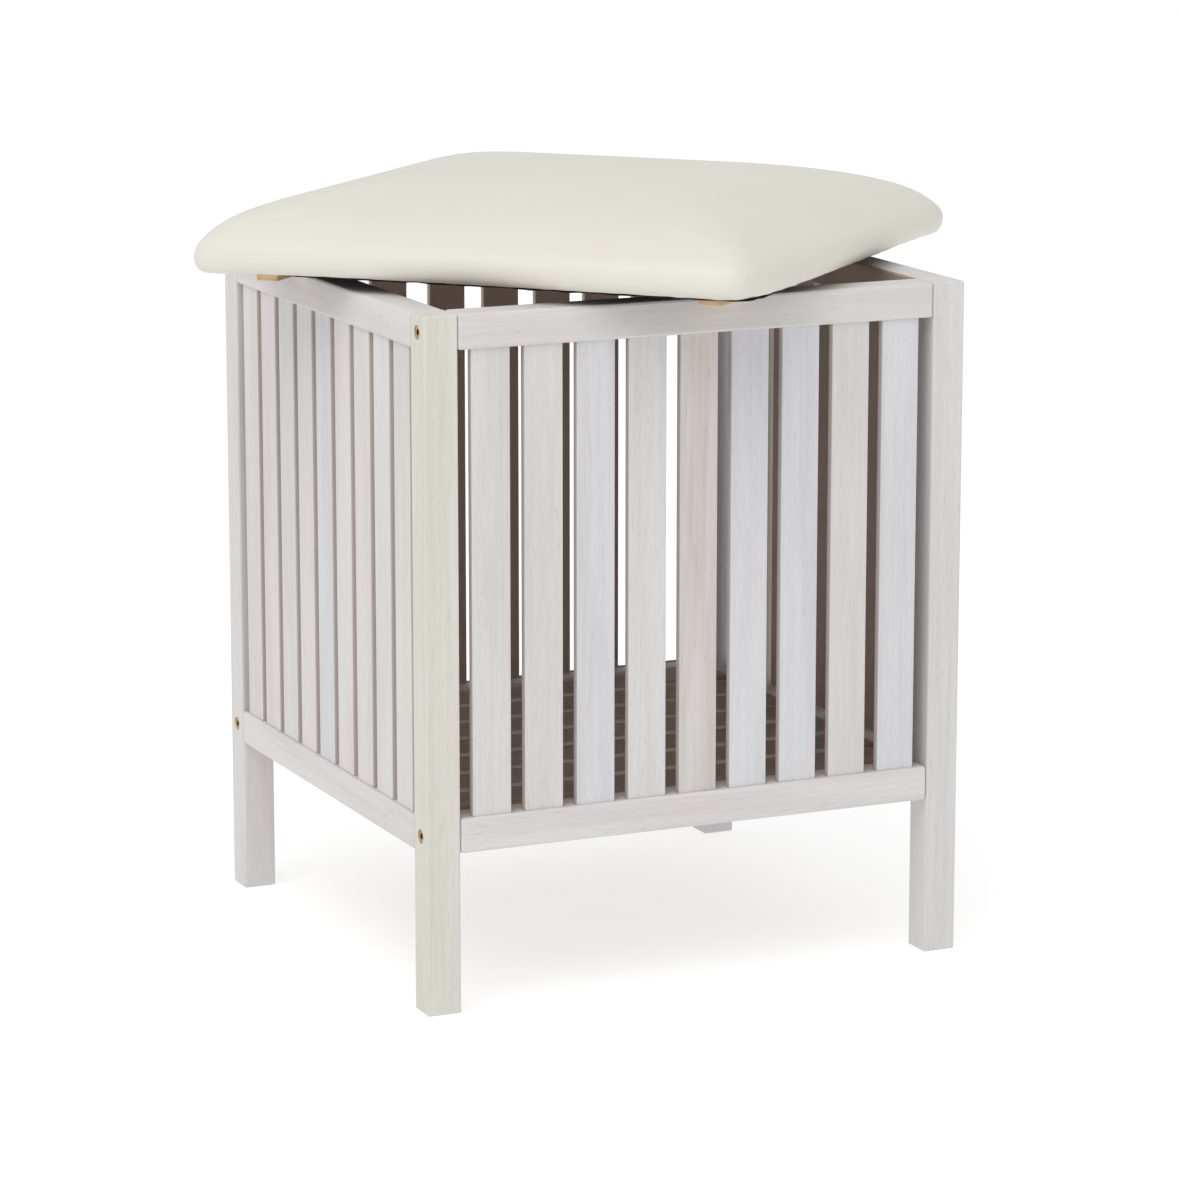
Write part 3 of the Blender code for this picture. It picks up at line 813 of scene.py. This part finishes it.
    def stuff(self, piece: bpy.types.Object) -> None:
        """Blow the cover up by cloth simulation, with its underside held on the board.

        Args:
            piece: The cushion's form, which is changed.
        """
        rest = points_of(piece)
        bottom = self.low.z
        held = piece.vertex_groups.new(name="stapled")
        for vertex in piece.data.vertices:
            if vertex.co.z < bottom + self.edge_radius / 4:
                held.add([vertex.index], 1.0, "REPLACE")
        cloth = piece.modifiers.new("stuffing", "CLOTH")
        cloth.settings.quality = 6
        cloth.settings.mass = 0.35
        cloth.settings.tension_stiffness = 25.0
        cloth.settings.compression_stiffness = 25.0
        cloth.settings.bending_stiffness = 4.0
        cloth.settings.vertex_group_mass = held.name
        cloth.settings.use_pressure = True
        cloth.settings.uniform_pressure_force = self.pressure
        cloth.settings.effector_weights.gravity = 0.0
        cloth.collision_settings.use_collision = False
        cloth.point_cache.frame_start = 1
        cloth.point_cache.frame_end = self.frames
        for step in range(1, self.frames + 1):
            bpy.context.scene.frame_set(step)
        moved = points_of(piece, evaluated=True)
        piece.modifiers.remove(cloth)
        normals = np.zeros(len(rest) * 3)
        piece.data.vertices.foreach_get("normal", normals)
        normals = normals.reshape(-1, 3)
        shift = moved - rest
        outward = np.sum(shift * normals, axis=1, keepdims=True)
        shift -= np.minimum(outward, 0.0) * normals  # the foam keeps the cover from going in
        length = np.linalg.norm(shift, axis=1, keepdims=True)
        capped = rest + shift * np.minimum(1.0, self.swell_cap / np.maximum(length, 1e-9))
        piece.data.vertices.foreach_set("co", capped.ravel())
        piece.data.update()
        piece.vertex_groups.clear()
        log.info("stuffed the cover, which swelled %.1f mm at most",
                 1000 * float(length.max()))

    def settle(self, piece: bpy.types.Object) -> None:
        """Draw the corners in, let the lower edge droop there and pucker between its staples.

        Args:
            piece: The stuffed cover or the foam, which is changed.
        """
        bottom = self.low.z
        for vertex in piece.data.vertices:
            u, v, z = vertex.co
            corner = (abs(u) / self.high.x * abs(v) / self.high.y) ** self.corner_falloff
            signs = (1 if u > 0 else -1, 1 if v > 0 else -1)
            along, across = self.corner_pulls[signs]
            vertex.co.x -= signs[0] * along * corner
            vertex.co.y -= signs[1] * across * corner
            lowness = max(0.0, 1 - (z - bottom) / (self.droop_reach * self.edge_radius))
            edge = max(abs(u) / self.high.x, abs(v) / self.high.y) ** self.edge_falloff
            spot = Vector((u, v, 0.0)) / self.pucker_spacing
            ripple = noise.noise(spot) * (0.35 + 0.65 * corner)
            droop = self.corner_droops[signs] * corner
            vertex.co.z -= lowness * (droop + self.pucker * ripple * edge)
        piece.data.update()

    def open_underside(self, piece: bpy.types.Object) -> None:
        """Cut away the middle of the underside, which leaves the hem that is stapled up.

        Args:
            piece: The cover, which is changed.
        """
        bm = bmesh.new()
        bm.from_mesh(piece.data)
        ceiling = self.low.z + 2 * MM
        inner = [face for face in bm.faces
                 if face.calc_center_median().z < ceiling
                 and abs(face.calc_center_median().x) < self.high.x - self.hem
                 and abs(face.calc_center_median().y) < self.high.y - self.hem]
        bmesh.ops.delete(bm, geom=inner, context="FACES")
        bm.to_mesh(piece.data)
        bm.free()

    def build_cover(self) -> None:
        """Make the cover: remeshed, stuffed, settled, opened below and given its thickness."""
        crown = self.high.z - self.swell
        piece = self.add_object("cushion_cover", self.loft(self.cushion_rings(self.swell), crown))
        apply_modifier(piece, "REMESH", mode="VOXEL", voxel_size=self.voxel)
        self.stuff(piece)
        apply_modifier(piece, "SUBSURF", levels=1, render_levels=1)
        self.settle(piece)
        self.open_underside(piece)
        apply_modifier(piece, "SOLIDIFY", thickness=self.leather, offset=-1.0)
        piece.data.shade_smooth()
        dress(piece, Leatherette().material())
        self.place(piece, "leatherette", "lid_cover")
        log.info("built the cover")

    def build_foam(self) -> None:
        """Make the foam pad, which the cover hides: flat below and domed above."""
        inset = self.swell + self.foam_gap
        floor = self.local_box("lid_foam")[0].z
        rings = [ring for ring in self.cushion_rings(inset) if ring[1] > floor + MM]
        rings.insert(0, (rings[0][0], floor))
        piece = self.add_object("foam_pad", self.loft(rings, self.high.z - inset))
        self.settle(piece)
        piece.data.shade_smooth()
        piece.data.set_sharp_from_angle(angle=math.radians(self.foam_crease))
        dress(piece, Foam().material())
        self.place(piece, "foam", "lid_foam")
        log.info("built the foam pad")

    def build_lining(self) -> None:
        """Make the lining: a thin sheet under the board, rippled at its edge."""
        bm = bmesh.new()
        half_u = self.high.x - self.lining_inset
        half_v = self.high.y - self.lining_inset
        bmesh.ops.create_grid(bm, x_segments=self.lining_cells, y_segments=self.lining_cells,
                              size=1.0)
        level = self.local_box("lid_lining")[0].z + self.lining_level
        for vertex in bm.verts:
            a, b = vertex.co.x, vertex.co.y
            edge = max(abs(a), abs(b)) ** self.lining_falloff
            longer = max(abs(a), abs(b), MM)
            ratio = min(abs(a), abs(b)) / longer
            squeeze = (1 + ratio ** self.corner) ** (-1 / self.corner)
            u, v = half_u * a * squeeze, half_v * b * squeeze
            ripple = noise.noise(Vector((u, v, 3.0)) / self.pucker_spacing)
            vertex.co = (u, v, level - edge * self.lining_ripple * (0.5 + ripple))
        piece = self.add_object("underside_lining", bm)
        apply_modifier(piece, "SOLIDIFY", thickness=self.lining_thickness, offset=0.0)
        piece.data.shade_smooth()
        dress(piece, NonWoven().material())
        self.place(piece, "nonwoven", "lid_lining")
        log.info("built the lining")

    def dress_wood(self) -> None:
        """Finish the board and the battens."""
        dress(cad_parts["lid_board"], Plywood().material())
        for side, height in self.ring_centres.items():
            name = f"lid_batten_{side}"
            low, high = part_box(name)
            centre = (low + high) / 2 + Vector((0.0, 0.0, height))
            pine = Pine(name, self.turn + math.pi / 2, tuple(centre))
            dress(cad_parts[name], pine.material())
        log.info("finished the board and the battens")

    def build(self) -> None:
        """Build the whole lid."""
        self.build_cover()
        self.build_foam()
        self.build_lining()
        self.dress_wood()


def points_of(piece: bpy.types.Object, evaluated: bool = False) -> np.ndarray:
    """Return a mesh's points, as they are or as its modifiers leave them.

    Args:
        piece: The object.
        evaluated: True for the points after its modifiers.

    Returns:
        One row of three for each point.
    """
    mesh = piece.data
    if evaluated:
        mesh = piece.evaluated_get(bpy.context.evaluated_depsgraph_get()).data
    flat = np.zeros(len(mesh.vertices) * 3)
    mesh.vertices.foreach_get("co", flat)
    return flat.reshape(-1, 3)


def apply_modifier(piece: bpy.types.Object, kind: str, **settings: object) -> None:
    """Add a modifier to an object and apply it at once.

    Args:
        piece: The object, whose mesh is replaced.
        kind: The modifier's type.
        **settings: Its properties.
    """
    modifier = piece.modifiers.new(kind.lower(), kind)
    for name, value in settings.items():
        setattr(modifier, name, value)
    shaped = piece.evaluated_get(bpy.context.evaluated_depsgraph_get())
    mesh = bpy.data.meshes.new_from_object(shaped)
    piece.modifiers.remove(modifier)
    old = piece.data
    piece.data = mesh
    bpy.data.meshes.remove(old)


@dataclass
class Studio:
    """A white sweep, soft light from all round with a softbox on the left, and the camera."""

    floor_size: float = 60.0
    sky: float = 0.72
    softbox_size: float = 4.0
    softbox_power: float = 124.0
    softbox_azimuth: float = -48.0
    softbox_elevation: float = 56.0
    softbox_distance: float = 5.2
    azimuth: float = -24.386
    elevation: float = 11.88
    distance: float = 3.325
    aim: tuple[float, float, float] = (0.008, -0.004, 0.240)
    lens: float = 142.6
    sensor: float = 36.0

    def view_direction(self, azimuth: float, elevation: float) -> Vector:
        """Return the way from a place seen at that angle back to the viewer.

        Args:
            azimuth: 0 looks along +Y and 90 along -X, in degrees.
            elevation: The angle above the horizon, in degrees.

        Returns:
            A unit vector.
        """
        a, e = math.radians(azimuth), math.radians(elevation)
        return Vector((math.sin(a) * math.cos(e), -math.cos(a) * math.cos(e), math.sin(e)))

    def lay_floor(self) -> None:
        """Lay the white floor."""
        bm = bmesh.new()
        bmesh.ops.create_grid(bm, x_segments=2, y_segments=2, size=self.floor_size / 2)
        mesh = bpy.data.meshes.new("floor")
        bm.to_mesh(mesh)
        bm.free()
        floor = bpy.data.objects.new("floor", mesh)
        bpy.context.scene.collection.objects.link(floor)
        dress(floor, PaperFloor().material())

    def add_softbox(self) -> None:
        """Add a square area light that faces the object."""
        light = bpy.data.lights.new("softbox", "AREA")
        light.size = self.softbox_size
        light.energy = self.softbox_power
        lamp = bpy.data.objects.new("softbox", light)
        direction = self.view_direction(self.softbox_azimuth, self.softbox_elevation)
        lamp.location = Vector(self.aim) + direction * self.softbox_distance
        lamp.rotation_euler = direction.to_track_quat("Z", "Y").to_euler()
        bpy.context.scene.collection.objects.link(lamp)

    def light(self) -> None:
        """Light the scene."""
        world = bpy.data.worlds.new("white_studio")
        world.use_nodes = True
        backdrop = world.node_tree.nodes["Background"]
        backdrop.inputs["Color"].default_value = (1.0, 1.0, 1.0, 1.0)
        backdrop.inputs["Strength"].default_value = self.sky
        bpy.context.scene.world = world
        self.add_softbox()
        bpy.context.scene.view_settings.view_transform = "Standard"

    def place_camera(self) -> None:
        """Place the camera."""
        data = bpy.data.cameras.new("camera")
        data.lens = self.lens
        data.sensor_width = self.sensor
        camera = bpy.data.objects.new("camera", data)
        direction = self.view_direction(self.azimuth, self.elevation)
        camera.location = Vector(self.aim) + direction * self.distance
        camera.rotation_euler = direction.to_track_quat("Z", "Y").to_euler()
        bpy.context.scene.collection.objects.link(camera)
        bpy.context.scene.camera = camera

    def build(self) -> None:
        """Set the studio up."""
        self.lay_floor()
        self.light()
        self.place_camera()


def main() -> None:
    """Build the looks in order, and report each piece."""
    logging.basicConfig(level=logging.INFO, format="%(name)s: %(message)s")
    for section in (SlattedBox(), Fasteners(), PaddedLid(), Studio()):
        section.build()


if __name__ == "__main__":
    main()
